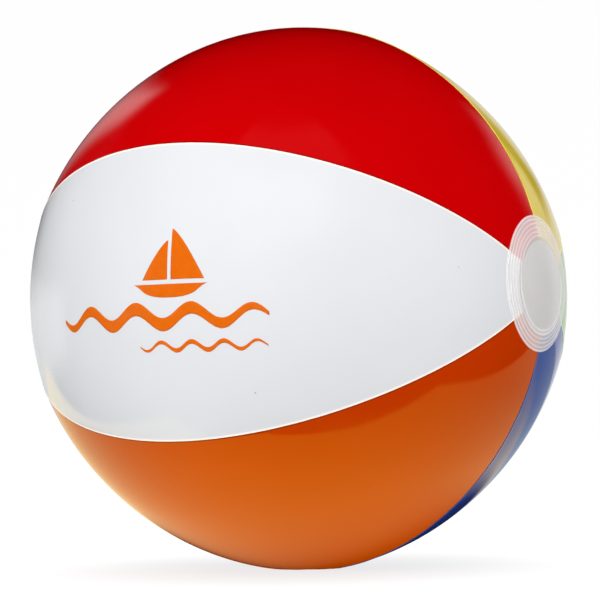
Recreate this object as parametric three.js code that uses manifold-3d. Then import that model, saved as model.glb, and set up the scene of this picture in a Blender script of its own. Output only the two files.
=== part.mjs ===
// An inflatable beach ball: six welded vinyl panels and two end discs, with a push-in valve
// in the middle of the rear disc.
//
// Millimetres. The origin is the centre of the ball, +X runs along the polar axis through
// the front end disc, and +Z is up. The ball stands on the small flat that its own weight
// presses into it at -Z, which lies across the seam of the orange and blue panels.

import * as THREE from 'three';
import Module from 'manifold-3d';
import { mergeVertices } from 'three/addons/utils/BufferGeometryUtils.js';

// The blown-up ball.
const BALL_RADIUS = 152.5; // a 16 inch ball when flat, 12 inches across when full
const MERIDIAN_BULGE = 0.0117; // fuller at the poles and the equator than half-way
const SEAM_RIDGE = 0.0174; // how far the seams stand out past the panels' middles
const RIDGE_MEAN = 1 / 3; // the ridge's average over a panel, kept out of the mean radius
const PATCH_HALF_ACROSS = 5.9; // degrees from the bottom seam to the edge of the flat
const PATCH_HALF_ALONG = 8; // degrees along the bottom seam to the end of the flat

// Vinyl film.
const PANEL_FILM = 0.2;
const DISC_FILM = 0.3;
const GAP = 0.3; // between pieces that are welded or rest on each other

// Panels and end discs.
const PANEL_COLOURS = {
  red: 0xc60a0c,
  white: 0xeceef2,
  orange: 0xd8620f,
  blue: 0x3a56a4,
  green: 0x74ae5c,
  yellow: 0xe6c81e,
};
const PANEL_SPAN = 60; // degrees of azimuth, one sixth of the ball
const PANEL_END_RADIUS = 26; // the panels stop here, under the discs
const DISC_RADIUS = 38;
const GRID_STEP = 6; // degrees between the lines of a panel's facets
const ROUND_SEGMENTS = 40;
const DISC_RING = 7; // mm between the rings of a disc's facets

// The valve, which is measured outward from the top of the rear disc.
const WELL_RADIUS = 11.3; // the hole in the rear disc that the valve sinks into
const FLANGE_RADIUS = 17;
const FLANGE_THICKNESS = 0.8;
const STEM_RADIUS = 5.5;
const BORE_RADIUS = 3.8;
const STEM_TOP = 0.2;
const STEM_LENGTH = 20;
const MOUTH_FLARE = 0.9; // how much wider the bore is at the stem's mouth
const FLARE_DEPTH = 1.6;
const COLLAR_WALL = 0.5; // the rolling collar between flange and stem
const COLLAR_GRIP_DEPTH = 7; // where the collar meets the stem
const CAP_RADIUS = 6.6;
const CAP_THICKNESS = 1.4;
const PLUG_LENGTH = 5.5;
const PLUG_TOP_RADIUS = 3.35;
const PLUG_TIP_RADIUS = 2.6;
const STRAP_WIDTH = 4;
const STRAP_THICKNESS = 0.8;
const STOPPER_HINGE_HEIGHT = 8.2; // the strap's root, above the valve's axis
const LUG_THICKNESS = 1.2;
const FLAP_RADIUS = 5.2;
const FLAP_THICKNESS = 0.4;
const FLAP_HINGE_HEIGHT = 6;
const VALVE_COLOUR = 0xe9e6da;

const wasm = await Module();
wasm.setup();

const radians = THREE.MathUtils.degToRad;
const FLOOR_LEVEL = -surfaceRadius(0, PANEL_SPAN / 2 - PATCH_HALF_ACROSS) * Math.cos(radians(PATCH_HALF_ACROSS));
const POLE_RADIUS = surfaceRadius(90, 0);
const DISC_TOP = POLE_RADIUS + GAP + DISC_FILM;

// The distance of the vinyl's outer face from the centre, at a latitude and at an angle
// from a panel's middle line, both in degrees.
function surfaceRadius(latitude, fromMiddle) {
  const s = Math.sin(radians(latitude));
  const meridian = (35 * s ** 4 - 30 * s ** 2 + 3) / 8;
  const edge = 1 - Math.cos(radians(PANEL_SPAN / 2));
  const lobe = (1 - Math.cos(radians(fromMiddle))) / edge - RIDGE_MEAN;
  return BALL_RADIUS * (1 + MERIDIAN_BULGE * meridian + SEAM_RIDGE * lobe * (1 - s ** 2));
}

function latitudeAt(radius) {
  return 90 - THREE.MathUtils.radToDeg(Math.asin(radius / POLE_RADIUS));
}

function vinyl(colour, look = {}) {
  return new THREE.MeshStandardMaterial({ color: colour, roughness: 0.3, metalness: 0, ...look });
}

function named(name, geometry, material) {
  const mesh = new THREE.Mesh(geometry, material);
  mesh.name = name;
  return mesh;
}

// Even lines from one angle to another, with the marks put in and the even lines that
// would crowd a mark left out.
function gridLines(from, to, marks) {
  const count = Math.ceil((to - from) / GRID_STEP);
  const even = Array.from({ length: count - 1 }, (_, i) => from + ((to - from) * (i + 1)) / count);
  const inside = marks.filter((mark) => mark > from && mark < to);
  const clear = even.filter((line) => marks.every((mark) => Math.abs(line - mark) > GRID_STEP / 3));
  return [from, ...inside, ...clear, to].sort((a, b) => a - b);
}

// Marks that give a flat of this half-width a rounded, eight-sided edge.
function patchMarks(middle, halfWidth) {
  const diagonal = halfWidth * Math.SQRT1_2;
  return [-halfWidth, -diagonal, 0, diagonal, halfWidth].map((offset) => middle + offset);
}

// A point of a panel, at a depth under its outer face. The panel stops half a gap short
// of each seam, and nothing goes lower than the floor.
function panelPoint(middle, latitude, azimuth, depth) {
  const radius = surfaceRadius(latitude, azimuth - middle) - depth;
  const ring = radius * Math.cos(radians(latitude));
  const edgeShare = GAP / 2 / ring / radians(PANEL_SPAN / 2);
  const turn = radians(middle + (azimuth - middle) * (1 - edgeShare));
  const height = Math.max(ring * Math.cos(turn), FLOOR_LEVEL + depth);
  return [radius * Math.sin(radians(latitude)), -ring * Math.sin(turn), height];
}

// A closed shell between an outer and an inner grid of points.
function shellGeometry(rows, columns, pointAt) {
  const layer = rows.length * columns.length;
  const corner = (i, j, inner) => inner * layer + i * columns.length + j;
  const position = [0, 1].flatMap((inner) => rows.flatMap((row) => columns.flatMap((column) => pointAt(row, column, inner))));
  const index = [];
  const quad = (a, b, c, d) => index.push(a, b, c, a, c, d);
  const lastRow = rows.length - 1;
  const lastColumn = columns.length - 1;
  for (let i = 0; i < lastRow; i++) {
    for (let j = 0; j < lastColumn; j++) {
      quad(corner(i, j, 0), corner(i, j + 1, 0), corner(i + 1, j + 1, 0), corner(i + 1, j, 0));
      quad(corner(i, j, 1), corner(i + 1, j, 1), corner(i + 1, j + 1, 1), corner(i, j + 1, 1));
    }
  }
  for (let j = 0; j < lastColumn; j++) {
    quad(corner(0, j + 1, 0), corner(0, j, 0), corner(0, j, 1), corner(0, j + 1, 1));
    quad(corner(lastRow, j, 0), corner(lastRow, j + 1, 0), corner(lastRow, j + 1, 1), corner(lastRow, j, 1));
  }
  for (let i = 0; i < lastRow; i++) {
    quad(corner(i, 0, 0), corner(i + 1, 0, 0), corner(i + 1, 0, 1), corner(i, 0, 1));
    quad(corner(i + 1, lastColumn, 0), corner(i, lastColumn, 0), corner(i, lastColumn, 1), corner(i + 1, lastColumn, 1));
  }
  const geometry = new THREE.BufferGeometry();
  geometry.setAttribute('position', new THREE.Float32BufferAttribute(position, 3));
  geometry.setIndex(index);
  geometry.computeVertexNormals();
  return geometry;
}

function panel(number) {
  const from = number * PANEL_SPAN;
  const middle = from + PANEL_SPAN / 2;
  const end = latitudeAt(PANEL_END_RADIUS);
  const latitudes = gridLines(-end, end, patchMarks(0, PATCH_HALF_ALONG));
  const azimuths = gridLines(from, from + PANEL_SPAN, patchMarks(180, PATCH_HALF_ACROSS));
  return shellGeometry(latitudes, azimuths, (latitude, azimuth, inner) =>
    panelPoint(middle, latitude, azimuth, inner * PANEL_FILM));
}

// A closed ring or disc that follows the vinyl between two radii from the polar axis, and
// lies between two heights over it. Its axis is +Y.
function curvedDisc(innerRadius, outerRadius, low, high) {
  const steps = Math.max(2, Math.round((outerRadius - innerRadius) / DISC_RING));
  const face = (offset) => Array.from({ length: steps + 1 }, (_, i) => {
    const latitude = latitudeAt(innerRadius + ((outerRadius - innerRadius) * i) / steps);
    const radius = surfaceRadius(latitude, 0) + offset;
    return new THREE.Vector2(radius * Math.cos(radians(latitude)), radius * Math.sin(radians(latitude)));
  });
  const profile = [...face(low), ...face(high).reverse()];
  if (innerRadius > 0) profile.push(profile[0].clone());
  return turned(profile);
}

// A profile turned about +Y, with the points on the axis put exactly there.
function turned(profile) {
  const points = profile.map((point) => new THREE.Vector2(point.x < 1e-6 ? 0 : point.x, point.y));
  return new THREE.LatheGeometry(points, ROUND_SEGMENTS);
}

function profileOf(...pairs) {
  return pairs.map(([radius, height]) => new THREE.Vector2(radius, height));
}

function solid(geometry) {
  const bare = geometry.clone();
  bare.deleteAttribute('normal');
  bare.deleteAttribute('uv');
  const merged = mergeVertices(bare);
  return new wasm.Manifold(new wasm.Mesh({
    numProp: 3,
    vertProperties: new Float32Array(merged.attributes.position.array),
    triVerts: new Uint32Array(merged.index.array),
  }));
}

function geometryOf(body) {
  const { vertProperties, triVerts } = body.getMesh();
  const geometry = new THREE.BufferGeometry();
  geometry.setAttribute('position', new THREE.BufferAttribute(new Float32Array(vertProperties), 3));
  geometry.setIndex(new THREE.BufferAttribute(new Uint32Array(triVerts), 1));
  geometry.computeVertexNormals();
  return geometry;
}

// A block across the valve that reaches from the stem's wall up to a height.
function lug(height, top) {
  const start = (BORE_RADIUS + STEM_RADIUS) / 2;
  const block = new THREE.BoxGeometry(STRAP_WIDTH, LUG_THICKNESS, height - start);
  return block.translate(0, top - LUG_THICKNESS / 2, (height + start) / 2);
}

// The tube that air goes in through, with the lugs that carry the strap and the flap.
function stemGeometry() {
  const bottom = STEM_TOP - STEM_LENGTH;
  const tube = turned(profileOf(
    [BORE_RADIUS, bottom],
    [STEM_RADIUS, bottom],
    [STEM_RADIUS, STEM_TOP],
    [BORE_RADIUS + MOUTH_FLARE, STEM_TOP],
    [BORE_RADIUS, STEM_TOP - FLARE_DEPTH],
    [BORE_RADIUS, bottom],
  ));
  const strapLug = lug(STOPPER_HINGE_HEIGHT, STEM_TOP - GAP);
  const flapLug = lug(FLAP_HINGE_HEIGHT + GAP, bottom + LUG_THICKNESS);
  return geometryOf(solid(tube).add(solid(strapLug)).add(solid(flapLug)));
}

// The thin collar that rolls inside out as the stem is pushed in or pulled out.
function collarGeometry() {
  const outer = WELL_RADIUS - GAP;
  const inner = STEM_RADIUS + GAP;
  const top = -GAP - DISC_FILM - GAP;
  const bend = (outer - inner) / 4;
  const upper = [
    [inner, -COLLAR_GRIP_DEPTH],
    [inner + bend, -COLLAR_GRIP_DEPTH + bend],
    [outer - bend, top - bend],
    [outer, top],
  ];
  const lower = upper.map(([radius, height]) => [radius, height - COLLAR_WALL]);
  return turned(profileOf(...lower, ...upper.reverse(), lower[0]));
}

function stopperGeometry() {
  const capBase = STEM_TOP + GAP;
  const capTop = capBase + CAP_THICKNESS;
  const tip = capBase - PLUG_LENGTH;
  const edge = 0.4; // the cap's and the tip's rounded edges
  return turned(profileOf(
    [0, tip],
    [PLUG_TIP_RADIUS - edge, tip],
    [PLUG_TIP_RADIUS, tip + edge],
    [PLUG_TOP_RADIUS, capBase],
    [CAP_RADIUS, capBase],
    [CAP_RADIUS, capTop - edge],
    [CAP_RADIUS - edge, capTop],
    [0, capTop],
  ));
}

// The stiff end of the strap, between the cap's rim and the bend over the stem's lug.
function strapGeometry() {
  const from = CAP_RADIUS + GAP;
  const length = STOPPER_HINGE_HEIGHT - 0.2 - from;
  const middle = STEM_TOP + 0.2 + STRAP_THICKNESS / 2;
  return new THREE.BoxGeometry(STRAP_WIDTH, STRAP_THICKNESS, length).translate(0, middle, from + length / 2);
}

// The non-return flap over the stem's inner end, a disc with a straight hinge tab.
function flapGeometry() {
  const tab = STRAP_WIDTH / 2;
  const corner = Math.asin(tab / FLAP_RADIUS);
  const outline = new THREE.Shape();
  outline.absarc(0, 0, FLAP_RADIUS, Math.PI / 2 + corner, Math.PI * 2.5 - corner, false);
  outline.lineTo(tab, FLAP_HINGE_HEIGHT);
  outline.lineTo(-tab, FLAP_HINGE_HEIGHT);
  const flat = new THREE.ExtrudeGeometry(outline, { depth: FLAP_THICKNESS, bevelEnabled: false, curveSegments: 24 });
  return flat.rotateX(Math.PI / 2).translate(0, STEM_TOP - STEM_LENGTH - GAP, 0);
}

const ball = new THREE.Group();

Object.entries(PANEL_COLOURS).forEach(([colour, value], number) => {
  ball.add(named(`panel_${colour}`, panel(number), vinyl(value)));
});

const milky = vinyl(0xe6e8e4, { transparent: true, opacity: 0.75 });
const frontDisc = named('front_end_disc', curvedDisc(0, DISC_RADIUS, GAP, GAP + DISC_FILM), milky);
frontDisc.rotation.z = -Math.PI / 2;
ball.add(frontDisc);

const rearDisc = named('rear_end_disc', curvedDisc(WELL_RADIUS, DISC_RADIUS, GAP, GAP + DISC_FILM), milky);
rearDisc.rotation.z = Math.PI / 2;
ball.add(rearDisc);

const flangeShape = curvedDisc(WELL_RADIUS, FLANGE_RADIUS, -FLANGE_THICKNESS, 0);
const flange = named('valve_flange', flangeShape, vinyl(VALVE_COLOUR));
flange.rotation.z = Math.PI / 2;
ball.add(flange);

// Inside this group +Y points out of the ball, and zero is the top of the rear disc.
const valve = new THREE.Group();
valve.position.x = -DISC_TOP;
valve.rotation.z = Math.PI / 2;
valve.add(named('valve_collar', collarGeometry(), vinyl(VALVE_COLOUR)));
valve.add(named('valve_stem', stemGeometry(), vinyl(VALVE_COLOUR)));
valve.add(named('stopper', stopperGeometry(), vinyl(VALVE_COLOUR)));
valve.add(named('stopper_strap', strapGeometry(), vinyl(VALVE_COLOUR)));
valve.add(named('check_flap', flapGeometry(), vinyl(VALVE_COLOUR)));
ball.add(valve);

export default ball;
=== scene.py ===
"""The looks of an inflatable beach ball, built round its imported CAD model. Metres throughout."""

import math

import bmesh
import bpy
import numpy as np
from mathutils import Matrix, Vector


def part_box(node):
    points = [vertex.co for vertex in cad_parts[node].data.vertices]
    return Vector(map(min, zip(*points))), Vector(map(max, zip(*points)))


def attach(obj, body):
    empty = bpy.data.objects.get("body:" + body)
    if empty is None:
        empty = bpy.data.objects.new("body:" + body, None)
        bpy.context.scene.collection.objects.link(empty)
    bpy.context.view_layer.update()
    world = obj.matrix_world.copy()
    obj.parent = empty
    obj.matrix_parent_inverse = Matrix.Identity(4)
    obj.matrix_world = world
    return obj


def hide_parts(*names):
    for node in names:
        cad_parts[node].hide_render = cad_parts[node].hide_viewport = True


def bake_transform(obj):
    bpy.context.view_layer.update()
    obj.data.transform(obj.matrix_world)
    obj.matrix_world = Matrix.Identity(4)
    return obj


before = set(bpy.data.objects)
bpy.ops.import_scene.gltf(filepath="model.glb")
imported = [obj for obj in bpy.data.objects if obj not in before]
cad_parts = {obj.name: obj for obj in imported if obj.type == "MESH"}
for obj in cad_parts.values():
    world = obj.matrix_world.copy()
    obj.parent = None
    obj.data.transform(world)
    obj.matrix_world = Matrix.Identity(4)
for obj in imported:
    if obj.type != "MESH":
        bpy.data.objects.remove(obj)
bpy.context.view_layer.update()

MM = 0.001

# The blown-up shape, by the same formula as the CAD panels.
BALL_RADIUS = 152.5 * MM
MERIDIAN_BULGE = 0.0117
SEAM_RIDGE = 0.0174
RIDGE_MEAN = 1 / 3
PANEL_SPAN = math.radians(60)
PANEL_FILM = 0.2 * MM
PANELS = ("red", "white", "orange", "blue", "green", "yellow")

# Whether each panel's film lies on top at its first weld and at its last.
LAPS_OVER = {
    "red": (0, 0), "white": (1, 1), "orange": (0, 0),
    "blue": (1, 0), "green": (1, 0), "yellow": (1, 1),
}

# Places read from the frame. The valve sits opposite the front disc.
FLOOR_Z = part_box("panel_orange")[0].z
DISC_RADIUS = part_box("front_end_disc")[1].y
POLE_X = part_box("front_end_disc")[1].x
VALVE_X = -POLE_X

# The panels stop short of the polar axis, and an end disc closes each opening.
POLE_RADIUS = BALL_RADIUS * (1 + MERIDIAN_BULGE)
OPENING_RADIUS = 26 * MM
PANEL_END = math.pi / 2 - math.asin(OPENING_RADIUS / POLE_RADIUS)

# Welded seams: one film laps a little over its neighbour and ends in a small bead.
LAP = 0.35 * MM
LAP_RISE = 0.08 * MM
BEAD_RISE = 0.10 * MM
BEAD_PLACE = 0.45 * MM
BEAD_WIDTH = 0.30 * MM
UNDER_DIP = 0.15 * MM
UNDER_SHORT = 0.05 * MM  # an under film stops this far short of the weld
DIP_ZONE = 1.2 * MM
SEAM_ZONE = 1.8 * MM
BEAD_HIGHLIGHT_FADE = (0.8 * MM, 1.25 * MM)  # distances in from the edge over which the painted highlight at the bead fades
# Distances in from the edge over which the painted shade under the lap fades.
LAP_SHADE_FADE = (0.6 * MM, 1.3 * MM)
RELIEF_FADE = (math.radians(72), math.radians(75))  # latitudes just short of an end disc's edge
SEAM_DRIFT = (0.0, 0.38, 0.50, 0.0, 0.0, 0.0)  # degrees that each weld sits off its even place
PUCKER_RISE = 0.06 * MM
PUCKER_REACH = 9 * MM
PUCKER_LENGTH = 15 * MM

# The camera, from the ball's centre.
CAMERA_AZIMUTH = math.radians(30.41)
CAMERA_ELEVATION = math.radians(-2.70)
CAMERA_ROLL = math.radians(0.93)
CAMERA_DISTANCE = 8.913 * BALL_RADIUS
CAMERA_LENS = 142.8
CAMERA_SENSOR = 36
CAMERA_SHIFT = (0.0040, -0.0023)


def smooth(low, high, value):
    t = np.clip((value - low) / (high - low), 0, 1)
    return t * t * (3 - 2 * t)


# ---------------------------------------------------------------- shape

def swelling(sine):
    """The blown-up shape's radius at a latitude, given by its sine, where there is no seam."""
    return BALL_RADIUS * (1 + MERIDIAN_BULGE * (35 * sine**4 - 30 * sine**2 + 3) / 8)


def surface_radius(latitude, azimuth):
    s = np.sin(latitude)
    off_middle = np.mod(azimuth, PANEL_SPAN) - PANEL_SPAN / 2
    lobe = (1 - np.cos(off_middle)) / (1 - math.cos(PANEL_SPAN / 2)) - RIDGE_MEAN
    return swelling(s) + BALL_RADIUS * SEAM_RIDGE * lobe * (1 - s**2)


def on_ball(latitude, azimuth, lift=0.0, radius=None):
    """Points over the ball's surface, held above the floor that the ball stands on."""
    r = (surface_radius(latitude, azimuth) if radius is None else radius) + lift
    ring = r * np.cos(latitude)
    height = np.maximum(ring * np.cos(azimuth), FLOOR_Z + np.maximum(lift, 0))
    return np.stack([r * np.sin(latitude), -ring * np.sin(azimuth), height], axis=-1)


def mesh_object(name, points, faces):
    mesh = bpy.data.meshes.new(name)
    mesh.from_pydata([tuple(p) for p in points], [], faces)
    mesh.update()
    piece = bpy.data.objects.new(name, mesh)
    bpy.context.scene.collection.objects.link(piece)
    return piece


def outward(piece):
    work = bmesh.new()
    work.from_mesh(piece.data)
    bmesh.ops.recalc_face_normals(work, faces=work.faces)
    work.to_mesh(piece.data)
    work.free()
    piece.data.shade_smooth()
    return piece


def shell(name, outer, inner, ring=False):
    """A closed shell between two grids of points; ring joins the last column to the first."""
    rows, columns = outer.shape[:2]
    index = np.arange(rows * columns).reshape(rows, columns)
    if ring:
        index = np.concatenate([index, index[:, :1]], axis=1)
    layer = rows * columns
    corners = [index[:-1, :-1], index[:-1, 1:], index[1:, 1:], index[1:, :-1]]
    faces = np.stack([c.ravel() for c in corners], axis=1)
    all_faces = [faces, faces[:, ::-1] + layer]
    edges = [index[0], index[-1]] + ([] if ring else [index[:, 0], index[:, -1]])
    for edge in edges:
        all_faces.append(np.stack([edge[:-1], edge[1:], edge[1:] + layer, edge[:-1] + layer], axis=1))
    points = np.concatenate([outer.reshape(-1, 3), inner.reshape(-1, 3)])
    return outward(mesh_object(name, points, np.concatenate(all_faces).tolist()))


def lathe(name, profile, to_world, segments=96):
    """A closed profile of (radius, height) turned about +Z, which to_world then places."""
    turns = np.linspace(0, 2 * math.pi, segments, endpoint=False)
    rows = len(profile)
    points = [(r * math.cos(t), r * math.sin(t), h) for r, h in profile for t in turns]
    faces = []
    for i in range(rows):
        here, after = i * segments, (i + 1) % rows * segments
        for j in range(segments):
            k = (j + 1) % segments
            faces.append((here + j, here + k, after + k, after + j))
    piece = mesh_object(name, points, faces)
    work = bmesh.new()
    work.from_mesh(piece.data)
    bmesh.ops.remove_doubles(work, verts=work.verts, dist=1e-6)
    bmesh.ops.transform(work, matrix=to_world, verts=work.verts)
    work.to_mesh(piece.data)
    work.free()
    return outward(piece)


def rounded(corners, radius, steps=5):
    """A closed outline whose corners are rounded off by up to a radius."""
    outline = []
    count = len(corners)
    for i in range(count):
        before, at, after = (Vector(corners[(i + k) % count]) for k in (-1, 0, 1))
        if at.x < 1e-7:
            outline.append(tuple(at))
            continue
        reach = min(radius, (before - at).length / 2.2, (after - at).length / 2.2)
        start = at + (before - at).normalized() * reach
        end = at + (after - at).normalized() * reach
        for s in range(steps + 1):
            t = s / steps
            outline.append(tuple(start * (1 - t) ** 2 + at * 2 * t * (1 - t) + end * t * t))
    return outline


# ---------------------------------------------------------------- panels

def wander(distance, seed):
    """A smooth wave that never quite repeats, for puckers along a seam."""
    turn = 2 * math.pi * distance / PUCKER_LENGTH
    return (np.sin(turn + seed) + np.sin(turn * 1.618 + 2.3 * seed) + np.sin(turn * 0.43 + seed * 5)) / 3


def edge_lift(distance, over):
    """How far the film rises near an edge, by distance in from that edge."""
    if not over:
        return -UNDER_DIP * (1 - smooth(0, DIP_ZONE, distance))
    lap = LAP_RISE * (1 - smooth(DIP_ZONE, SEAM_ZONE, distance))
    return lap + BEAD_RISE * np.exp(-(((distance - BEAD_PLACE) / BEAD_WIDTH) ** 2))


def panel(number, name):
    """One gore panel, whose columns crowd towards its welds."""
    rows, middle_columns = 161, 25
    near = np.array([0, 0.12, 0.25, 0.4, 0.55, 0.72, 0.95, 1.25, 1.7, 2.4, 3.6, 5.8, 9]) * MM
    over = LAPS_OVER[name]
    latitude = np.linspace(-PANEL_END, PANEL_END, rows)
    drift = [math.radians(SEAM_DRIFT[(number + side) % len(PANELS)]) for side in (0, 1)]
    first, last = number * PANEL_SPAN + drift[0], (number + 1) * PANEL_SPAN + drift[1]
    ring = BALL_RADIUS * np.cos(latitude)
    width = ring * (last - first)
    extra = [LAP if over[side] else -UNDER_SHORT for side in (0, 1)]
    points_across = []
    for i in range(rows):
        inside = np.linspace(near[-1], width[i] - near[-1], middle_columns)[1:-1]
        points_across.append(np.concatenate([near - extra[0], inside, width[i] + extra[1] - near[::-1]]))
    across = np.array(points_across)
    lat = np.repeat(latitude[:, None], across.shape[1], axis=1)
    azimuth = first + across / ring[:, None]
    from_first, from_last = across + extra[0], width[:, None] + extra[1] - across
    along = lat * BALL_RADIUS
    covered = smooth(*RELIEF_FADE, np.abs(lat))
    lift = np.zeros_like(across)
    for distance, side, seed in ((from_first, 0, number), (from_last, 1, number + 1)):
        pucker = PUCKER_RISE * np.exp(-distance / PUCKER_REACH) * wander(along, 1.7 * (seed % len(PANELS)))
        lift += edge_lift(distance, over[side]) + pucker
    lift *= 1 - covered
    # Each panel's cross-section is stretched between its own welds, so both films of a seam agree.
    share = np.clip((azimuth - first) / (last - first), 0, 1 - 1e-9)
    radius = surface_radius(lat, share * PANEL_SPAN)
    outer = on_ball(lat, azimuth, lift, radius)
    inner = on_ball(lat, azimuth, lift - PANEL_FILM, radius)
    piece = shell(f"{name}_vinyl_panel", outer, inner)
    bead_highlight = np.zeros(across.shape)
    lap_shade_mask = np.zeros(across.shape)
    for distance, side in ((from_first, 0), (from_last, 1)):
        if over[side]:
            # Painted highlight along the bead of a film that lies on top.
            bead_highlight += 1 - smooth(*BEAD_HIGHLIGHT_FADE, distance)
        else:
            # Painted shade on a film that lies under its neighbour's lap.
            lap_shade_mask += 1 - smooth(*LAP_SHADE_FADE, distance)
    paint(piece, "bead_highlight", np.tile(bead_highlight.ravel(), 2))
    paint(piece, "lap_shade", np.tile(lap_shade_mask.ravel(), 2))
    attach(piece, "ball")
    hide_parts(f"panel_{name}")
    return piece


def paint(piece, attribute, values):
    layer = piece.data.attributes.new(attribute, "FLOAT", "POINT")
    layer.data.foreach_set("value", np.asarray(values, np.float32))


# ---------------------------------------------------------------- end discs

DISC_SIZE = 0.975  # of the CAD disc's radius
DISC_OFF_CENTRE = 2.5 * MM  # glued this far above the polar axis
DISC_LIFT = 0.3 * MM
DISC_FILM = 0.3 * MM
REAR_HOLE = 11.3 * MM
RIDGE_PLACES = (0.93, 0.87, 0.81, 0.75, 0.69)
RIDGE_RISE = 0.32 * MM
RIDGE_WIDTH = 0.42 * MM
RIDGE_TONE_WIDTH = 0.008  # of the disc's radius, like the places
RIM_PLACE = 0.9 * MM  # in from the disc's edge
RIM_RISE = 0.22 * MM
RIM_WIDTH = 0.55 * MM
RIM_TONE_PLACE = 0.985
MIDDLE_SLACK = 0.105 * MM
CRINKLE = 0.05 * MM
EDGE_ROUNDING = 0.5 * MM


def hump(distance, width):
    """A rounded rise, 1 where the distance is none."""
    return np.exp(-((distance / width) ** 2))


def disc_lift(reach):
    """The relief of an end disc, by distance from its own middle."""
    rings = sum(RIDGE_RISE * hump(reach - DISC_RADIUS * place, RIDGE_WIDTH) for place in RIDGE_PLACES)
    rim = RIM_RISE * hump(reach - DISC_RADIUS + RIM_PLACE, RIM_WIDTH)
    slack = MIDDLE_SLACK * (1 - smooth(0.5 * DISC_RADIUS, 0.68 * DISC_RADIUS, reach))
    return rings + rim - slack


def close_middle(piece, up):
    """Close the pinhole that a disc's innermost ring leaves round its middle, up from the axis."""
    work = bmesh.new()
    work.from_mesh(piece.data)
    centre = [v for v in work.verts if math.hypot(v.co.y, v.co.z - up) < 0.5 * MM]
    walls = [f for f in work.faces if all(v in centre for v in f.verts)]
    bmesh.ops.delete(work, geom=walls, context="FACES_ONLY")
    open_edges = [e for e in work.edges if e.is_boundary]
    bmesh.ops.holes_fill(work, edges=open_edges, sides=0)
    bmesh.ops.recalc_face_normals(work, faces=work.faces)
    work.to_mesh(piece.data)
    work.free()
    piece.data.shade_smooth()


def end_disc(name, cad_node, side, hole=0.0, off_centre=0.0, size=1.0):
    """The film over one end of the ball, at +X or -X by side, with rows crowded where it has rings."""
    reach = np.concatenate([
        np.linspace(max(hole, 0.4 * MM), 0.62 * DISC_RADIUS, 16)[:-1],
        np.linspace(0.62 * DISC_RADIUS, DISC_RADIUS - 0.05 * MM, 96)])
    turns = np.linspace(0, 2 * math.pi, 180, endpoint=False)
    reach_grid, turn = np.meshgrid(reach, turns, indexing="ij")
    across = -reach_grid * size * np.sin(turn)
    above = reach_grid * size * np.cos(turn) + off_centre
    latitude = np.arccos(np.clip(np.hypot(across, above) / POLE_RADIUS, 0, 1))
    azimuth = np.arctan2(-across, above)
    base = np.maximum(surface_radius(latitude, azimuth), swelling(np.sin(latitude)))
    crinkle = CRINKLE * np.sin(9 * turn + 2) * np.sin(4 * turn)
    crinkle *= smooth(0.3, 0.66, reach_grid / DISC_RADIUS)
    under = base + DISC_LIFT + crinkle
    edge = smooth(DISC_RADIUS - EDGE_ROUNDING, DISC_RADIUS, reach_grid)
    top = under + DISC_FILM * (1 - 0.55 * edge) + disc_lift(reach_grid)

    def placed(radius):
        return np.stack([side * radius * np.sin(latitude), across, above], -1)

    piece = shell(name, placed(top), placed(under), ring=True)
    if not hole:
        close_middle(piece, off_centre)
    from_middle = np.array([math.hypot(v.co.y, v.co.z - off_centre) for v in piece.data.vertices])
    from_axis_line = np.array([math.hypot(v.co.y, v.co.z) for v in piece.data.vertices])
    paint(piece, "open", 1 - smooth(OPENING_RADIUS - 0.7 * MM, OPENING_RADIUS + 0.3 * MM, from_axis_line))
    # The rings and rim: the film is thicker there, and its painted glow is brighter.
    share = from_middle / (DISC_RADIUS * size)
    rings = RIDGE_PLACES + (RIM_TONE_PLACE,)
    paint(piece, "ridge", sum(hump(share - place, RIDGE_TONE_WIDTH) for place in rings))
    piece.visible_shadow = False  # thin see-through film
    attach(piece, "ball")
    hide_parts(cad_node)
    return piece


# ---------------------------------------------------------------- valve

# The valve's sizes in millimetres. A height counts outward from the rear disc's middle.
FLANGE_BORE = 11.2
FLANGE_RADIUS = 17
FLANGE_THICKNESS = 0.75
COLLAR_TOP = (11.5, -1.0)  # radius and height
COLLAR_FOOT = (5.6, -6.9)
COLLAR_THICKNESS = 0.45
COLLAR_SWAY = 0.16
TUBE_BORE = 3.8
TUBE_RADIUS = 5.5
TUBE_MOUTH = 0.2
TUBE_END = -19.8
TUBE_RIB = (-9.4, -9.2, -8.9, -8.7)
TUBE_RIB_RISE = 0.25
LUG_WIDTH = 4.0
LUG_THICKNESS = 1.15
STRAP_LUG_HEIGHT = -0.7
FLAP_LUG_HEIGHT = -19.2
CAP_RADIUS = 6.6
CAP_UNDERSIDE = 0.5
CAP_TOP = 1.9
CAP_HOLLOW = 1.4
CAP_RIB_PLACES = (2.6, 3.6, 4.4)
CAP_RIB_RISE = 0.26
STRAP_WIDTH = 3.7
STRAP_THICKNESS = 0.6
FLAP_RADIUS = 5.2
FLAP_UNDERSIDE = -20.5
FLAP_TOP = -20.1
FLAP_TAB_THICKNESS = 0.35


def valve_point(across, up, out):
    """A place at the valve: out is the distance outward from the rear disc's middle."""
    return Vector((VALVE_X - out, across, up))


# Turns a lathe's +Z to point outward at the valve, along -X.
VALVE_AXES = Matrix(((0, 0, -1, 0), (-1, 0, 0, 0), (0, 1, 0, 0), (0, 0, 0, 1)))
VALVE_TURN = Matrix.Translation((VALVE_X, 0, 0)) @ VALVE_AXES


def film_out(reach):
    """Where the ball's film lies, as a distance outward at the valve."""
    s = np.sin(np.arccos(reach / POLE_RADIUS))
    return swelling(s) * s - POLE_X


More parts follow.
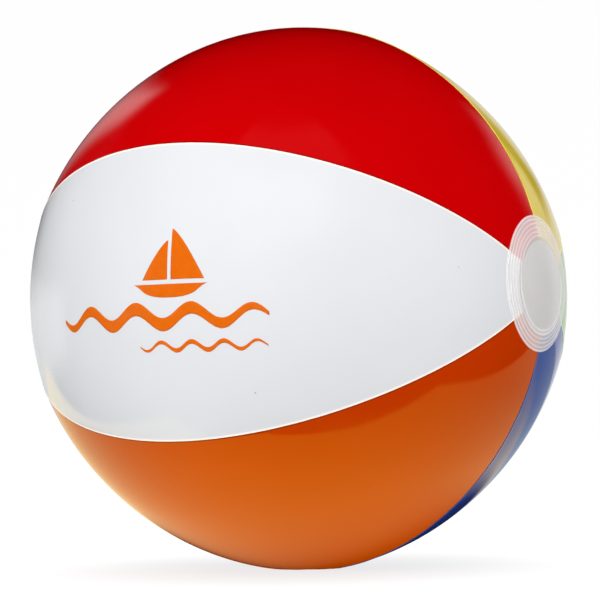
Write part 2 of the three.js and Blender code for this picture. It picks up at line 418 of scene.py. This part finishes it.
def ribbon(name, path, width, thickness, steps):
    """A strip across the valve along a smooth path of (up, out) places, all in millimetres."""
    knots = np.array(path, float) * MM
    for _ in range(3):
        cut = [knots[0]]
        for a, b in zip(knots[:-1], knots[1:]):
            cut += [a * 0.75 + b * 0.25, a * 0.25 + b * 0.75]
        knots = np.array(cut + [knots[-1]])
    length = np.concatenate([[0], np.cumsum(np.hypot(*np.diff(knots, axis=0).T))])
    even = np.linspace(0, length[-1], steps)
    line = np.stack([np.interp(even, length, knots[:, k]) for k in (0, 1)], axis=1)
    along = np.gradient(line, axis=0)
    along /= np.hypot(*along.T)[:, None]
    square = np.stack([along[:, 1], -along[:, 0]], axis=1)

    def squared(value):
        return math.copysign(abs(value) ** 0.35, value)

    section = [(width / 2 * MM * squared(math.cos(t)), thickness / 2 * MM * squared(math.sin(t)))
               for t in np.linspace(0, 2 * math.pi, 24, endpoint=False)]
    points = []
    for (up, out), (n_up, n_out) in zip(line, square):
        points += [valve_point(a, up + n_up * b, out + n_out * b) for a, b in section]
    count = len(section)
    faces = [tuple(range(count)), tuple(range((steps - 1) * count, steps * count))]
    for i in range(steps - 1):
        for j in range(count):
            k = (j + 1) % count
            faces.append((i * count + j, i * count + k, (i + 1) * count + k, (i + 1) * count + j))
    return outward(mesh_object(name, points, faces))


def turned_at_valve(name, corners, rounding=0.25):
    """A round piece of the valve from the corners of its profile, in millimetres."""
    profile = rounded([(r * MM, h * MM) for r, h in corners], rounding * MM)
    return lathe(name, profile, VALVE_TURN)


def flange_piece():
    reach = np.linspace(FLANGE_BORE * MM, FLANGE_RADIUS * MM, 9)
    top = [(r / MM, film_out(r) / MM - 0.05) for r in reach]
    under = [(r, h - FLANGE_THICKNESS) for r, h in reversed(top)]
    flange = turned_at_valve("flange_ring", top + under, 0.15)
    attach(flange, "ball")
    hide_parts("valve_flange")
    return flange


def collar_piece():
    """The thin cone between flange and stem, a little wavy, which on the real valve rolls as the stem
    slides.
    """
    cone = []
    for t in np.linspace(0, 1, 33):
        sway = COLLAR_SWAY * math.sin(t * 5 * math.pi) * math.sin(t * math.pi)
        fall = float(smooth(0, 1, t)) * 0.6 + t * 0.4
        radius = COLLAR_TOP[0] + (COLLAR_FOOT[0] - COLLAR_TOP[0]) * t
        cone.append((radius, COLLAR_TOP[1] + (COLLAR_FOOT[1] - COLLAR_TOP[1]) * fall + sway))
    under = [(r, h - COLLAR_THICKNESS) for r, h in reversed(cone)]
    collar = lathe("rolling_collar", [(r * MM, h * MM) for r, h in cone + under], VALVE_TURN)
    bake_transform(collar)
    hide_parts("valve_collar")
    return collar


def stem_pieces():
    rib_from, rib_rises, rib_falls, rib_to = TUBE_RIB
    rib_radius = TUBE_RADIUS + TUBE_RIB_RISE
    stem = turned_at_valve("stem_tube", [
        (TUBE_BORE, TUBE_END), (TUBE_RADIUS, TUBE_END), (TUBE_RADIUS, rib_from), (rib_radius, rib_rises),
        (rib_radius, rib_falls), (TUBE_RADIUS, rib_to), (TUBE_RADIUS, TUBE_MOUTH),
        (4.7, TUBE_MOUTH), (TUBE_BORE, -1.4)])
    strap_path = [(up, STRAP_LUG_HEIGHT) for up in (4.6, 6.5, 8.3)]
    flap_path = [(up, FLAP_LUG_HEIGHT) for up in (4.6, 5.5, 6.3)]
    strap_lug = ribbon("stem_strap_lug", strap_path, LUG_WIDTH, LUG_THICKNESS, 12)
    flap_lug = ribbon("stem_flap_lug", flap_path, LUG_WIDTH, LUG_THICKNESS, 10)
    pieces = [stem, strap_lug, flap_lug]
    for piece in pieces:
        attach(piece, "valve_stem")
        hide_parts("valve_stem")
    return pieces


def stopper_pieces():
    """The tapered plug with its hollow-topped cap, and the rings in the hollow."""
    plug = turned_at_valve("stopper_plug", [
        (0, -5.0), (2.3, -5.0), (2.75, -4.4), (2.6, -3.8), (3.3, CAP_UNDERSIDE),
        (CAP_RADIUS, CAP_UNDERSIDE), (CAP_RADIUS, CAP_TOP), (5.4, CAP_TOP), (5.0, CAP_HOLLOW + 0.15),
        (2.2, CAP_HOLLOW + 0.05), (0, CAP_HOLLOW)], 0.35)
    pieces = [plug]
    for n, r in enumerate(CAP_RIB_PLACES):
        top = CAP_HOLLOW + CAP_RIB_RISE
        corners = [(r - 0.16, CAP_HOLLOW), (r + 0.16, CAP_HOLLOW), (r + 0.12, top), (r - 0.12, top)]
        pieces.append(turned_at_valve(f"cap_rib_{n}", corners, 0.05))
    for piece in pieces:
        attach(piece, "stopper")
        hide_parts("stopper")
    return pieces


def strap_piece():
    """The strap's loop, from the stem's lug round to the cap's edge."""
    strap = ribbon("strap_loop", [
        (7.4, STRAP_LUG_HEIGHT), (8.2, STRAP_LUG_HEIGHT), (8.9, -0.6), (9.1, 0.1), (8.9, 0.8), (8.2, 0.9),
        (7.4, 0.9), (6.2, 1.0)], STRAP_WIDTH, STRAP_THICKNESS, 44)
    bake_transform(strap)
    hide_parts("stopper_strap")
    return strap


def flap_pieces():
    middle = (FLAP_UNDERSIDE + FLAP_TOP) / 2
    flap = turned_at_valve("flap_disc", [
        (0, FLAP_UNDERSIDE), (4.9, FLAP_UNDERSIDE), (FLAP_RADIUS, middle),
        (4.9, FLAP_TOP), (0, FLAP_TOP)], 0.08)
    tab_path = [(up, middle) for up in (4.2, 5.2, 6.1)]
    flap_tab = ribbon("flap_tab", tab_path, LUG_WIDTH, FLAP_TAB_THICKNESS, 10)
    pieces = [flap, flap_tab]
    for piece in pieces:
        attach(piece, "check_flap")
        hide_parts("check_flap")
    return pieces


def valve_pieces():
    pieces = [flange_piece(), collar_piece()]
    pieces += [*stem_pieces(), *stopper_pieces(), strap_piece(), *flap_pieces()]
    return pieces


# ---------------------------------------------------------------- print

PRINT_LIFT = 0.03 * MM
PRINT_FILM = 0.04 * MM
WHITE_MIDDLE = PANEL_SPAN * 1.5
BOAT_MIDDLE = 12.5 * MM
DECK_PLACE = -2.2 * MM
SAIL_FOOT = -4.5 * MM
MAST_GAP = 1.0 * MM  # from the boat's middle to each sail


def print_patch(name, low, high, steps):
    """A patch of ink between two curves. Each curve maps 0 to 1 to (along, across) in metres."""
    t, u = np.meshgrid(np.linspace(0, 1, steps[0]), np.linspace(0, 1, steps[1]), indexing="ij")
    a, b = low(t), high(t)
    x = a[0] * (1 - u) + b[0] * u
    y = a[1] * (1 - u) + b[1] * u
    latitude = x / BALL_RADIUS
    azimuth = WHITE_MIDDLE + y / (BALL_RADIUS * np.cos(latitude))
    outer = on_ball(latitude, azimuth, PRINT_LIFT + PRINT_FILM)
    inner = on_ball(latitude, azimuth, PRINT_LIFT)
    piece = shell(name, outer, inner)
    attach(piece, "ball")
    return piece


def wave_line(name, start, end, across, rise, length, thick):
    """A wavy stroke that thins towards both its ends."""
    def centre(t):
        x = start + (end - start) * t
        return x, across + rise * np.sin(2 * math.pi * (x - start) / length)

    def edge(sign):
        def curve(t):
            x, y = centre(t)
            taper = 0.28 + 0.72 * np.sin(math.pi * np.clip(t, 0, 1)) ** 0.6
            return x, y + sign * thick / 2 * taper
        return curve

    return print_patch(name, edge(-1), edge(1), steps=(150, 6))


def sail(name, foot, mast, head, belly):
    """A sail between an upright mast and a curved outer edge that meet at the head."""
    def straight(t):
        return mast, foot + (head - foot) * t

    def curved(t):
        return mast + belly * (1 - t) ** 0.75, foot + (head - foot) * t

    return print_patch(name, straight, curved, steps=(40, 16))


def boat_print():
    """A generic sailboat over two waves, in one ink."""
    def deck(t):
        return BOAT_MIDDLE + (t - 0.5) * 44 * MM, DECK_PLACE

    def keel(t):
        depth = np.sqrt(np.clip(1 - np.abs(2 * t - 1) ** 2.4, 0, 1)) * 7 * MM
        return BOAT_MIDDLE + (t - 0.5) * 36 * MM, DECK_PLACE + depth

    return [
        sail("print_main_sail", SAIL_FOOT, BOAT_MIDDLE + MAST_GAP, -31 * MM, 19 * MM),
        sail("print_jib_sail", SAIL_FOOT, BOAT_MIDDLE - MAST_GAP, -25 * MM, -15 * MM),
        print_patch("print_hull", deck, keel, steps=(60, 10)),
        wave_line("print_wide_wave", -66 * MM, 66 * MM, 14.5 * MM, 4.2 * MM, 33 * MM, 7.0 * MM),
        wave_line("print_thin_wave", -7 * MM, 64 * MM, 30 * MM, 2.2 * MM, 17.5 * MM, 2.5 * MM),
    ]


# ---------------------------------------------------------------- materials

def material(name):
    made = bpy.data.materials.new(name)
    made.use_nodes = True
    tree = made.node_tree
    shader = tree.nodes["Principled BSDF"]
    return made, tree, shader


def node(tree, kind, **values):
    made = tree.nodes.new(kind)
    for key, value in values.items():
        if hasattr(made, key):
            setattr(made, key, value)
        else:
            made.inputs[key.replace("_", " ")].default_value = value
    return made


def mix_colour(tree, factor, a, b, blend="MIX"):
    """A colour mix; factor, a and b are sockets or plain values."""
    mix = tree.nodes.new("ShaderNodeMix")
    mix.data_type = "RGBA"
    mix.blend_type = blend
    for socket, value in ((mix.inputs[0], factor), (mix.inputs[6], a), (mix.inputs[7], b)):
        if isinstance(value, bpy.types.NodeSocket):
            tree.links.new(value, socket)
        elif isinstance(value, (int, float)):
            socket.default_value = value
        else:
            socket.default_value = (*value, 1)
    return mix.outputs[2]


def ramp(tree, value, low, high, to_low=0.0, to_high=1.0):
    """value taken from low..high to to_low..to_high, held inside them."""
    made = tree.nodes.new("ShaderNodeMapRange")
    made.interpolation_type = "SMOOTHSTEP"
    for index, number in ((1, low), (2, high), (3, to_low), (4, to_high)):
        made.inputs[index].default_value = number
    tree.links.new(value, made.inputs[0])
    return made.outputs[0]


def times(tree, *values):
    """The product of values, each a socket or a plain number; the first is a socket."""
    product = values[0]
    for value in values[1:]:
        step = node(tree, "ShaderNodeMath", operation="MULTIPLY")
        for socket, v in zip(step.inputs, (product, value)):
            if isinstance(v, bpy.types.NodeSocket):
                tree.links.new(v, socket)
            else:
                socket.default_value = v
        product = step.outputs[0]
    return product


def object_place(tree):
    return node(tree, "ShaderNodeTexCoord").outputs["Object"]


def axes_of(tree, place):
    split = node(tree, "ShaderNodeSeparateXYZ")
    tree.links.new(place, split.inputs[0])
    return split.outputs


def length_of(tree, vector):
    length = node(tree, "ShaderNodeVectorMath", operation="LENGTH")
    tree.links.new(vector, length.inputs[0])
    return length.outputs["Value"]


def painted(tree, attribute):
    return node(tree, "ShaderNodeAttribute", attribute_name=attribute).outputs["Fac"]


def clouds(tree, place, scale, detail, roughness=0.5):
    texture = node(tree, "ShaderNodeTexNoise", Scale=scale, Detail=detail, Roughness=roughness)
    tree.links.new(place, texture.inputs["Vector"])
    return texture.outputs[0]


def bump(tree, height, strength, distance):
    made = node(tree, "ShaderNodeBump", Strength=strength, Distance=distance)
    tree.links.new(height, made.inputs["Height"])
    return made


def linear(r, g, b):
    """A colour on the 0 to 255 scale of a screen, as the shader's linear one."""
    def one(v):
        v /= 255
        return v / 12.92 if v <= 0.04045 else ((v + 0.055) / 1.055) ** 2.4
    return one(r), one(g), one(b)


def film_relief(tree, shader, place, strength):
    """The slack waviness and fine grain of blown-up vinyl film."""
    slow = bump(tree, clouds(tree, place, 16.0, 2.0, 0.4), strength, 1.2 * MM)
    fine = bump(tree, clouds(tree, place, 900.0, 2.0, 0.6), 0.10, 0.04 * MM)
    tree.links.new(slow.outputs[0], fine.inputs["Normal"])
    tree.links.new(fine.outputs[0], shader.inputs["Normal"])


def dusty(tree, place, colour, strength):
    """A few small specks of dust over a colour."""
    dust = node(tree, "ShaderNodeTexVoronoi", Scale=95.0)
    tree.links.new(place, dust.inputs["Vector"])
    pick = node(tree, "ShaderNodeSeparateColor")
    tree.links.new(dust.outputs["Color"], pick.inputs[0])
    chosen = ramp(tree, pick.outputs[0], 0.93, 0.96)
    dot = ramp(tree, dust.outputs["Distance"], 0.035, 0.055, 1.0, 0.0)
    return mix_colour(tree, times(tree, chosen, dot, strength), colour, DUST_TONE)


VINYL_IOR = 1.5
DUST_TONE = (0.25, 0.24, 0.22)
PAINTED_LIGHT_FADE = (-0.14, -0.05)  # heights between which the painted light near the floor gives way to the tone above
# Strength of the painted glow along the bead.
PAINTED_BEAD_GLOW = 0.22
FILM_COVER = (0.47, 0.76)  # a disc's opacity over the panels, and over the opening
RING_COVER = 0.20  # what a ring adds to it


def vinyl(name, low_painted_light_tone, high_tone, bead_highlight_tone, lap_shade_tone, gloss_tone, speck):
    """Glossy dyed film with painted light: a tone near the floor and a tone above, which paint shade or
    floor light by height, and its own painted tones at the welds, a highlight at the bead and shade under
    the lap.
    """
    made, tree, shader = material(name)
    place = object_place(tree)
    # Painted light by height: most films darker towards the floor as painted shade, the orange lighter
    # there as painted floor light.
    height = ramp(tree, axes_of(tree, place)["Z"], *PAINTED_LIGHT_FADE)
    colour = mix_colour(tree, height, low_painted_light_tone, high_tone)
    shade = ramp(tree, clouds(tree, place, 9.0, 3.0), 0.3, 0.7, 0.955, 1.0)
    tint = node(tree, "ShaderNodeCombineColor")
    for socket in tint.inputs[:3]:
        tree.links.new(shade, socket)
    colour = mix_colour(tree, 1.0, colour, tint.outputs[0], "MULTIPLY")
    colour = dusty(tree, place, colour, speck)
    bead_highlight, lap_shade = painted(tree, "bead_highlight"), painted(tree, "lap_shade")
    # Painted highlight: a lighter tone along the bead.
    colour = mix_colour(tree, bead_highlight, colour, bead_highlight_tone)
    # Painted shade: a darker tone under the lap.
    tree.links.new(mix_colour(tree, lap_shade, colour, lap_shade_tone), shader.inputs["Base Color"])
    # Painted glow: the bead glows in its bead tone, for light that leaves through the film's cut edge.
    tree.links.new(mix_colour(tree, bead_highlight, (0, 0, 0), bead_highlight_tone), shader.inputs["Emission Color"])
    shader.inputs["Emission Strength"].default_value = PAINTED_BEAD_GLOW
    scuff = clouds(tree, place, 38.0, 4.0, 0.65)
    tree.links.new(ramp(tree, scuff, 0.35, 0.75, 0.07, 0.14), shader.inputs["Roughness"])
    film_relief(tree, shader, place, 0.12)
    shader.inputs["IOR"].default_value = VINYL_IOR
    shader.inputs["Specular Tint"].default_value = (*gloss_tone, 1)
    return made


def milky_vinyl(name):
    """The cloudy see-through film of the end discs."""
    made, tree, shader = material(name)
    place = object_place(tree)
    cloud = clouds(tree, place, 45.0, 4.0, 0.6)
    tone = mix_colour(tree, cloud, linear(228, 226, 227), linear(240, 237, 236))
    tree.links.new(tone, shader.inputs["Base Color"])
    tree.links.new(ramp(tree, cloud, 0.3, 0.7, 0.10, 0.20), shader.inputs["Roughness"])
    film_relief(tree, shader, place, 0.2)
    ridge = painted(tree, "ridge")
    thick = node(tree, "ShaderNodeMath", operation="MULTIPLY_ADD")
    tree.links.new(ridge, thick.inputs[0])
    thick.inputs[1].default_value = RING_COVER
    tree.links.new(ramp(tree, painted(tree, "open"), 0, 1, *FILM_COVER), thick.inputs[2])
    tree.links.new(thick.outputs[0], shader.inputs["Alpha"])
    # Painted glow: emission over the whole film, brighter along the rings and rim, for light let through
    # the film and its edges.
    glint = mix_colour(tree, ridge, (0.012, 0.010, 0.010), (0.13, 0.125, 0.125))
    tree.links.new(glint, shader.inputs["Emission Color"])
    shader.inputs["Emission Strength"].default_value = 1.0
    shader.inputs["IOR"].default_value = VINYL_IOR
    return made


def soft_vinyl(name):
    """The thicker, satin moulding of the valve."""
    made, tree, shader = material(name)
    cloud = clouds(tree, object_place(tree), 160.0, 3.0)
    tone = mix_colour(tree, cloud, linear(222, 222, 216), linear(240, 240, 236))
    tree.links.new(tone, shader.inputs["Base Color"])
    tree.links.new(ramp(tree, cloud, 0.3, 0.7, 0.22, 0.34), shader.inputs["Roughness"])
    tree.links.new(bump(tree, cloud, 0.1, 0.1 * MM).outputs[0], shader.inputs["Normal"])
    shader.inputs["Subsurface Weight"].default_value = 0.15
    shader.inputs["Subsurface Radius"].default_value = (3 * MM, 3 * MM, 2.5 * MM)
    return made


def ink(name):
    """Screen-printed ink, a little uneven."""
    made, tree, shader = material(name)
    cloud = clouds(tree, object_place(tree), 220.0, 5.0, 0.6)
    tone = mix_colour(tree, cloud, linear(232, 100, 6), linear(246, 120, 14))
    tree.links.new(tone, shader.inputs["Base Color"])
    tree.links.new(ramp(tree, cloud, 0.3, 0.7, 0.12, 0.24), shader.inputs["Roughness"])
    return made


def give(piece, made):
    piece.data.materials.clear()
    piece.data.materials.append(made)


# ---------------------------------------------------------------- light and stage

def camera_axes():
    a, e, roll = CAMERA_AZIMUTH, CAMERA_ELEVATION, CAMERA_ROLL
    back = Vector((math.sin(a) * math.cos(e), -math.cos(a) * math.cos(e), math.sin(e)))
    level = (-back).cross(Vector((0, 0, 1))).normalized()
    up = level.cross(-back).normalized()
    right = level * math.cos(roll) - up * math.sin(roll)
    top = up * math.cos(roll) + level * math.sin(roll)
    return right, top, back


RIGHT, UP, BACK = camera_axes()


def make_camera():
    data = bpy.data.cameras.new("camera")
    data.lens = CAMERA_LENS
    data.sensor_width = CAMERA_SENSOR
    data.shift_x, data.shift_y = CAMERA_SHIFT
    camera = bpy.data.objects.new("camera", data)
    axes = Matrix((RIGHT, UP, BACK)).transposed().to_4x4()
    camera.matrix_world = Matrix.Translation(BACK * CAMERA_DISTANCE) @ axes
    bpy.context.scene.collection.objects.link(camera)
    bpy.context.scene.camera = camera


def seen_from_camera(right, up, towards):
    """A level direction or place: rightward, upward and towards the camera."""
    flat_back = Vector((BACK.x, BACK.y, 0)).normalized()
    flat_right = Vector((-flat_back.y, flat_back.x, 0))
    return flat_right * right + Vector((0, 0, 1)) * up + flat_back * towards


def soft_light(name, place, size, power):
    """A lamp aimed at the ball's middle, which the gloss doesn't see."""
    data = bpy.data.lights.new(name, "AREA")
    data.shape = "RECTANGLE"
    data.size, data.size_y = size
    data.energy = power
    lamp = bpy.data.objects.new(name, data)
    lamp.location = place
    lamp.rotation_mode = "QUATERNION"
    lamp.rotation_quaternion = (-place).to_track_quat("-Z", "Y")
    lamp.visible_camera = False
    lamp.visible_glossy = False
    bpy.context.scene.collection.objects.link(lamp)


def stage_only(piece, camera=False, glossy=False):
    """Make a piece part of the studio, seen only by the camera or only by the gloss."""
    piece.visible_camera = camera
    piece.visible_glossy = glossy
    piece.visible_diffuse = False
    piece.visible_transmission = False
    piece.visible_shadow = False


def glow_tree(name):
    made = bpy.data.materials.new(name)
    made.use_nodes = True
    tree = made.node_tree
    tree.nodes.clear()
    out = tree.nodes.new("ShaderNodeOutputMaterial")
    emit = tree.nodes.new("ShaderNodeEmission")
    tree.links.new(emit.outputs[0], out.inputs[0])
    return made, tree, emit


def from_upright(tree, place):
    """Distance from the upright line through the ball's middle."""
    axes = axes_of(tree, place)
    flat = node(tree, "ShaderNodeCombineXYZ")
    tree.links.new(axes["X"], flat.inputs[0])
    tree.links.new(axes["Y"], flat.inputs[1])
    return length_of(tree, flat.outputs[0])


# What the gloss sees round the studio, as soft strips in degrees: brightness at both ends, both ends as
# (turn from straight behind the ball, height), half the width, and how soft the right and left are.
STRIPS = (
    (0.18, 0.95, (-12, 12), (-35, 39), 3.2, 2.5, 4.8),
    (0.55, 1.05, (41, 4), (44, 31), 6.5, 10.0, 6.0),
    (0.75, 0.75, (3, 6), (22, 20), 4.0, 4.0, 4.0),
    (0.30, 0.30, (140, 64), (222, 64), 8.0, 9.0, 9.0),
    (0.70, 0.70, (-60, -2), (2, -2), 5.0, 4.0, 4.0),
    (0.85, 0.85, (4, 2), (48, 2), 8.5, 4.0, 5.0),
)


REFLECTION_RADIUS = 6.0
STRIP_WRAP = 120  # degrees before a strip's start where the circle of turns is cut
END_SOFTNESS = 6  # degrees


def strip_brightness(turn, height, strip):
    """How bright one strip is over a grid of directions in degrees."""
    low, high, start, end, half, soft_right, soft_left = strip
    along = np.array(end, float) - start
    span = np.hypot(*along)
    off = np.mod(turn - start[0] + STRIP_WRAP, 360) - STRIP_WRAP
    up = height - start[1]
    reach = (off * along[0] + up * along[1]) / span
    side = (off * along[1] - up * along[0]) / span
    patch = smooth(-half - soft_left, -half + soft_left / 3, side)
    patch *= 1 - smooth(half - soft_right / 3, half + soft_right, side)
    patch *= smooth(-END_SOFTNESS, 4, reach)
    patch *= 1 - smooth(span - END_SOFTNESS, span + END_SOFTNESS, reach)
    return patch * (low + (high - low) * np.clip(reach / span, 0, 1))


def studio_reflection():
    """A dome that only the gloss sees, bright where the studio's cards hang."""
    step = 2.0
    turn, height = np.meshgrid(np.arange(-180, 180, step), np.arange(-20, 90.1, step))
    strength = np.zeros(turn.shape)
    for strip in STRIPS:
        strength = np.maximum(strength, strip_brightness(turn, height, strip))
    points = []
    for t, h in zip(np.radians(turn.ravel()), np.radians(height.ravel())):
        right, up, towards = math.sin(t) * math.cos(h), math.sin(h), -math.cos(t) * math.cos(h)
        points.append(seen_from_camera(right, up, towards) * REFLECTION_RADIUS)
    rows, columns = turn.shape
    faces = []
    for i in range(rows - 1):
        here, after = i * columns, (i + 1) * columns
        for j in range(columns):
            k = (j + 1) % columns
            faces.append((here + j, here + k, after + k, after + j))
    dome = mesh_object("studio_reflection", points, faces)
    paint(dome, "strength", strength.ravel())
    made, tree, emit = glow_tree("studio_reflection")
    tree.links.new(painted(tree, "strength"), emit.inputs["Strength"])
    give(dome, made)
    stage_only(dome, glossy=True)


# The sheet's edges and its shadow in ball radii, counted rightward and towards the camera.
SHEET_FRONT, SHEET_REAR = 1.1, -8.0
SHEET_FRONT_SIDES = (-1.2, 1.4)
SHEET_REAR_SIDES = (-6.5, 13.0)
SHADOW_PLACE = (0.2, -0.85, 0)
SHADOW_SIZE = (0.96, 1.37, 1)
SHADOW_EDGE = (0.70, 1.10)
SHEET_BRIGHTNESS = 1.1
WARM_WHITE = (1.0, 0.83, 0.45)
COOL_WHITE = (0.62, 0.72, 0.82)


def table_sheet():
    """The white sheet that the ball stands on, as its gloss sees it, with the ball's shadow on it."""
    (front_left, front_right), (rear_left, rear_right) = SHEET_FRONT_SIDES, SHEET_REAR_SIDES
    corners = [(front_left, SHEET_FRONT, 0), (front_right, SHEET_FRONT, 0),
               (rear_right, SHEET_REAR, 0), (rear_left, SHEET_REAR, 0)]
    sheet = mesh_object("sheet_reflection", corners, [(0, 1, 2, 3)])
    across, along = seen_from_camera(1, 0, 0), seen_from_camera(0, 0, 1)
    turned = Matrix((across, along, across.cross(along))).transposed().to_4x4()
    under_floor = Matrix.Translation((0, 0, FLOOR_Z - 0.2 * MM))
    sheet.matrix_world = under_floor @ turned @ Matrix.Scale(BALL_RADIUS, 4)
    made, tree, emit = glow_tree("sheet_reflection")
    place = object_place(tree)
    axes = axes_of(tree, place)
    shadow = node(tree, "ShaderNodeMapping", vector_type="TEXTURE")
    shadow.inputs["Location"].default_value = SHADOW_PLACE
    shadow.inputs["Scale"].default_value = SHADOW_SIZE
    tree.links.new(place, shadow.inputs[0])
    lit = ramp(tree, length_of(tree, shadow.outputs[0]), *SHADOW_EDGE, 0.0, SHEET_BRIGHTNESS)
    dim_right = ramp(tree, axes["X"], 0.8, 2.5, 1.0, 0.65)
    away = times(tree, ramp(tree, axes["Y"], -2.0, -1.1, 1.0, 0.0), ramp(tree, axes["X"], 0.0, 1.0))
    dim_away = ramp(tree, away, 0.0, 1.0, 1.0, 0.75)
    tree.links.new(times(tree, lit, dim_right, dim_away), emit.inputs["Strength"])
    tree.links.new(mix_colour(tree, away, WARM_WHITE, COOL_WHITE), emit.inputs["Color"])
    give(sheet, made)
    stage_only(sheet, glossy=True)


FLOOR_HALF = 8
BACKDROP_RADIUS = 7.5


def make_floor():
    """A pale glowing floor that only the camera sees, with a painted contact shadow: it glows a little
    less round the ball's foot.
    """
    signs = ((-1, -1), (1, -1), (1, 1), (-1, 1))
    corners = [(x * FLOOR_HALF, y * FLOOR_HALF, FLOOR_Z) for x, y in signs]
    floor = mesh_object("floor", corners, [(0, 1, 2, 3)])
    made, tree, shader = material("pale_floor")
    place = object_place(tree)
    tone = mix_colour(tree, clouds(tree, place, 3.0, 2.0), (0.07, 0.07, 0.07), (0.08, 0.08, 0.08))
    tree.links.new(tone, shader.inputs["Base Color"])
    shader.inputs["Roughness"].default_value = 0.9
    shader.inputs["Specular IOR Level"].default_value = 0.0
    shader.inputs["Emission Color"].default_value = (1, 1, 1, 1)
    # Painted contact shadow: the glow dims towards the ball's foot.
    brightness = ramp(tree, from_upright(tree, place), 0.035, 0.20, 0.80, 1.0)
    tree.links.new(brightness, shader.inputs["Emission Strength"])
    give(floor, made)
    stage_only(floor, camera=True)


def make_backdrop():
    bpy.ops.mesh.primitive_uv_sphere_add(segments=48, ring_count=24, radius=BACKDROP_RADIUS)
    dome = bpy.context.object
    dome.name = "backdrop"
    made, tree, emit = glow_tree("backdrop")
    height = axes_of(tree, object_place(tree))["Z"]
    tree.links.new(ramp(tree, height, -1, 6, 1.0, 0.96), emit.inputs["Strength"])
    give(dome, made)
    stage_only(dome, camera=True)


# The world's brightness all round and from below, and the lamps: a place as rightward, upward and
# towards the camera, a size, and a strength in watts.
AMBIENT = 0.23
FROM_FLOOR = 1.15
LAMPS = (
    ("key", (-0.15, 1.15, 1.95), (1.4, 1.1), 32.0),
    ("front_fill", (0.0, 0.1, 2.2), (1.2, 0.8), 4.5),
    ("left_fill", (-2.0, 0.3, 0.5), (0.9, 0.9), 10.0),
    ("right_fill", (2.0, 0.3, 0.5), (0.9, 0.9), 6.5),
    ("back_left", (-1.5, 0.9, -1.7), (1.2, 1.0), 22.0),
    ("back_right", (1.6, 0.8, -1.5), (1.2, 1.0), 24.0),
)


def make_lights():
    world = bpy.data.worlds.new("studio")
    world.use_nodes = True
    tree = world.node_tree
    height = axes_of(tree, node(tree, "ShaderNodeTexCoord").outputs["Generated"])["Z"]
    background = tree.nodes["Background"]
    background.inputs["Color"].default_value = (1, 1, 1, 1)
    brightness = ramp(tree, height, -0.95, -0.45, FROM_FLOOR, AMBIENT)
    tree.links.new(brightness, background.inputs["Strength"])
    world.cycles_visibility.glossy = False
    world.cycles_visibility.camera = False
    bpy.context.scene.world = world
    for name, place, size, power in LAMPS:
        soft_light(name, seen_from_camera(*place), size, power)


# ---------------------------------------------------------------- build

make_camera()

# Near the floor, where painted shade darkens most films and painted floor light brightens the orange;
# above; the painted highlight at the bead; the painted shade under the lap; and the tint of the gloss seen
# square on.
TONES = {
    "red": ((198, 0, 6), (214, 0, 4), (226, 40, 36), (120, 0, 2), (255, 140, 140)),
    "white": ((228, 228, 230), (240, 242, 245), (255, 238, 228), (190, 150, 120), (255, 255, 255)),
    "orange": ((250, 100, 0), (208, 58, 0), (240, 160, 100), (120, 34, 0), (255, 250, 60)),
    "blue": ((40, 66, 150), (46, 74, 158), (66, 88, 160), (24, 34, 80), (200, 220, 255)),
    "green": ((120, 176, 92), (132, 186, 104), (170, 210, 150), (60, 100, 50), (220, 255, 220)),
    "yellow": ((226, 196, 40), (230, 202, 44), (248, 216, 60), (150, 120, 10), (255, 250, 160)),
}

for number, name in enumerate(PANELS):
    piece = panel(number, name)
    tones = [linear(*tone) for tone in TONES[name]]
    give(piece, vinyl(f"{name}_vinyl", *tones, speck=0.5 if name == "white" else 0.15))

milky = milky_vinyl("milky_vinyl")
front = end_disc("front_disc_film", "front_end_disc", 1, off_centre=DISC_OFF_CENTRE, size=DISC_SIZE)
rear = end_disc("rear_disc_film", "rear_end_disc", -1, hole=REAR_HOLE)
give(front, milky)
give(rear, milky)

orange_ink = ink("orange_ink")
for piece in boat_print():
    give(piece, orange_ink)

valve_look = soft_vinyl("valve_vinyl")
for piece in valve_pieces():
    give(piece, valve_look)

make_floor()
make_backdrop()
make_lights()
studio_reflection()
table_sheet()
bpy.context.scene.view_settings.view_transform = "Standard"
